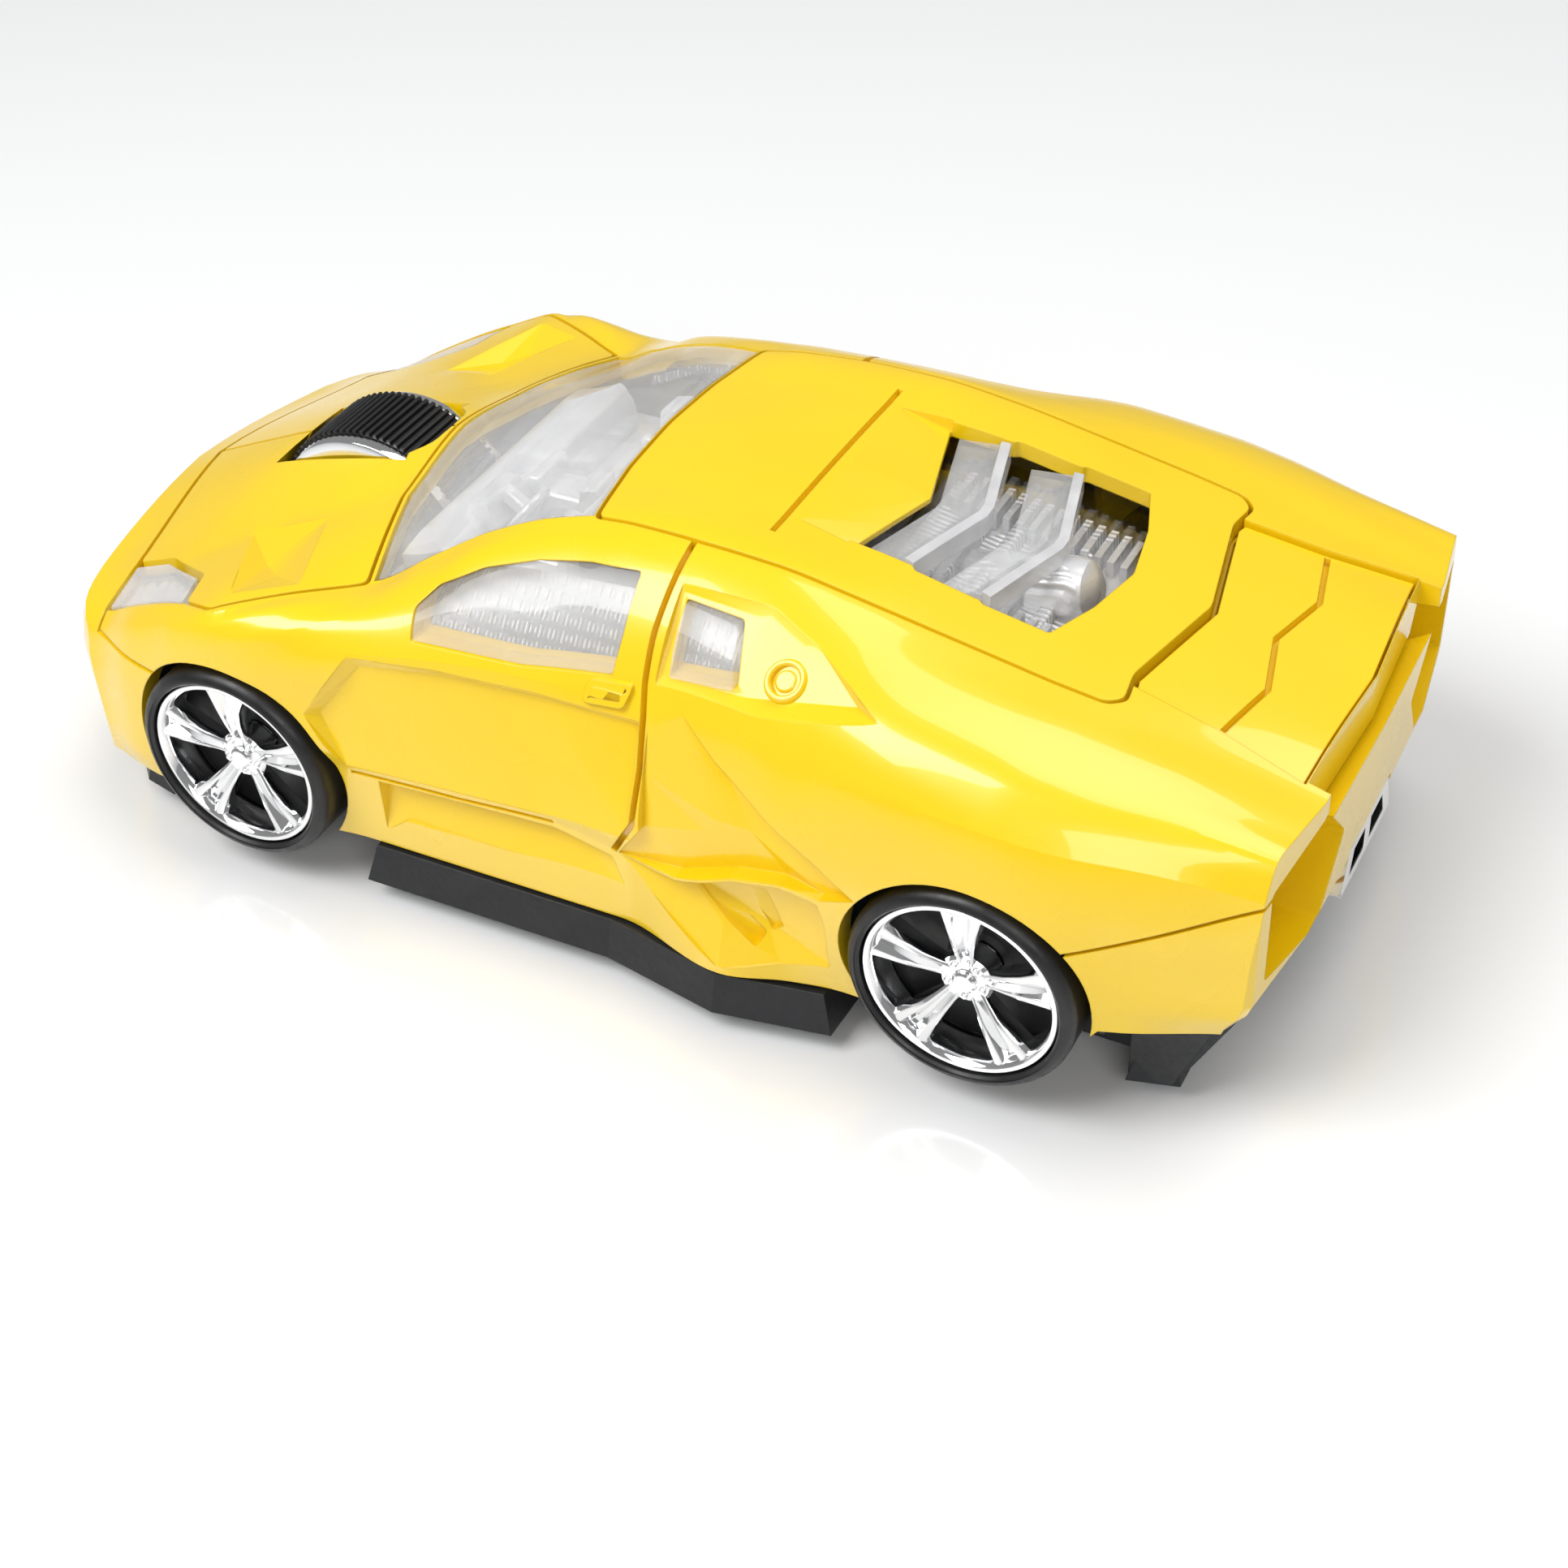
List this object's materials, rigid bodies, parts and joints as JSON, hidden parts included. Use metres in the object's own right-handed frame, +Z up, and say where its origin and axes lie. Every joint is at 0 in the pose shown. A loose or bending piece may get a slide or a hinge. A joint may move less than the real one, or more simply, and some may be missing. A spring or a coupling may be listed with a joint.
{
  "type": "car-shaped computer mouse",
  "caption": "Wireless computer mouse shaped as a low sports car, with bonnet buttons, a scroll wheel, an engine lid over the battery and free-rolling wheels.",
  "frame": {"origin": "on the desk, under the middle of the bounding box", "axes": "+Z up, -Y towards the nose, +X towards the car's left side"},
  "size_m": [0.0578, 0.1115, 0.0354],
  "materials": {
    "paint": "glossy yellow lacquer over moulded plastic",
    "base_black": "fine-textured black moulded plastic",
    "tyre": "smooth satin black rubber",
    "plated": "bright chrome plating on moulded plastic",
    "clear": "polished clear acrylic",
    "smoked": "polished lightly smoked acrylic",
    "steel": "nickel-plated steel",
    "glide": "low-friction dark grey plastic",
    "board": "green solder mask",
    "chip": "moulded black component bodies",
    "cell": "foil-wrapped cell"
  },
  "bodies": {
    "chassis": {"base_plate": "base_black", "battery_tray": "base_black", "usb_receiver": "base_black", "glide_foot_front": "glide", "glide_foot_rear": "glide", "body_shell": "paint", "front_bumper": "paint", "rear_bumper": "paint", "deck_panel": "paint", "exhaust_trim": "plated", "cabin_interior": "plated", "side_reflector_left": "plated", "side_reflector_right": "plated", "headlight_reflector_left": "plated", "headlight_reflector_right": "plated", "windscreen": "clear", "sensor_lens": "clear", "door_window_left": "clear", "door_window_right": "clear", "quarter_window_left": "clear", "quarter_window_right": "clear", "headlight_lens_left": "clear", "headlight_lens_right": "clear", "battery_spring": "steel", "battery_contact": "steel", "stub_axle_front_left": "steel", "stub_axle_front_right": "steel", "stub_axle_rear_left": "steel", "stub_axle_rear_right": "steel", "screw_front_left": "steel", "screw_front_right": "steel", "screw_rear_left": "steel", "screw_rear_right": "steel", "main_board": "board", "scroll_encoder": "chip", "micro_switch_left": "chip", "micro_switch_right": "chip", "micro_switch_middle": "chip", "sensor_chip": "chip", "power_switch": "chip", "battery": "cell"},
    "lid": {"engine_lid": "paint", "engine_window": "smoked", "engine_insert": "plated"},
    "button_left": {"button_left": "paint"},
    "button_right": {"button_right": "paint"},
    "scroll_frame": {"scroll_carrier": "base_black"},
    "scroll_wheel": {"scroll_tyre": "tyre", "scroll_hub": "plated"},
    "power_knob": {"power_knob": "glide"},
    "wheel_front_left": {"tyre_front_left": "tyre", "rim_front_left": "plated"},
    "wheel_front_right": {"tyre_front_right": "tyre", "rim_front_right": "plated"},
    "wheel_rear_left": {"tyre_rear_left": "tyre", "rim_rear_left": "plated"},
    "wheel_rear_right": {"tyre_rear_right": "tyre", "rim_rear_right": "plated"}
  },
  "joints": [
    {"name": "button_left_press", "type": "hinge", "parent": "chassis", "child": "button_left", "pos_m": [0, -0.0238, 0.0283], "axis": [1, 0, 0], "range_deg": [0, 1.5], "stiffness_Nm_per_rad": 0.1, "springref_deg": -0.57},
    {"name": "button_right_press", "type": "hinge", "parent": "chassis", "child": "button_right", "pos_m": [0, -0.0238, 0.0283], "axis": [1, 0, 0], "range_deg": [0, 1.5], "stiffness_Nm_per_rad": 0.1, "springref_deg": -0.57},
    {"name": "scroll_press", "type": "slide", "parent": "chassis", "child": "scroll_frame", "axis": [0, 0, -1], "range_m": [0, 0.0006], "stiffness_N_per_m": 600, "springref_m": -0.0004},
    {"name": "scroll_spin", "type": "hinge", "parent": "scroll_frame", "child": "scroll_wheel", "pos_m": [0, -0.032, 0.0192], "axis": [1, 0, 0], "continuous": true},
    {"name": "lid_open", "type": "hinge", "parent": "chassis", "child": "lid", "pos_m": [0, -0.0039, 0.0348], "axis": [1, 0, 0], "range_deg": [0, 40]},
    {"name": "power_switch_slide", "type": "slide", "parent": "chassis", "child": "power_knob", "axis": [0, 1, 0], "range_m": [0, 0.002]},
    {"name": "wheel_front_left_spin", "type": "hinge", "parent": "chassis", "child": "wheel_front_left", "pos_m": [0.0245, -0.0313, 0.0113], "axis": [1, 0, 0], "continuous": true},
    {"name": "wheel_front_right_spin", "type": "hinge", "parent": "chassis", "child": "wheel_front_right", "pos_m": [-0.0245, -0.0313, 0.0113], "axis": [1, 0, 0], "continuous": true},
    {"name": "wheel_rear_left_spin", "type": "hinge", "parent": "chassis", "child": "wheel_rear_left", "pos_m": [0.0245, 0.0337, 0.0113], "axis": [1, 0, 0], "continuous": true},
    {"name": "wheel_rear_right_spin", "type": "hinge", "parent": "chassis", "child": "wheel_rear_right", "pos_m": [-0.0245, 0.0337, 0.0113], "axis": [1, 0, 0], "continuous": true}
  ]
}
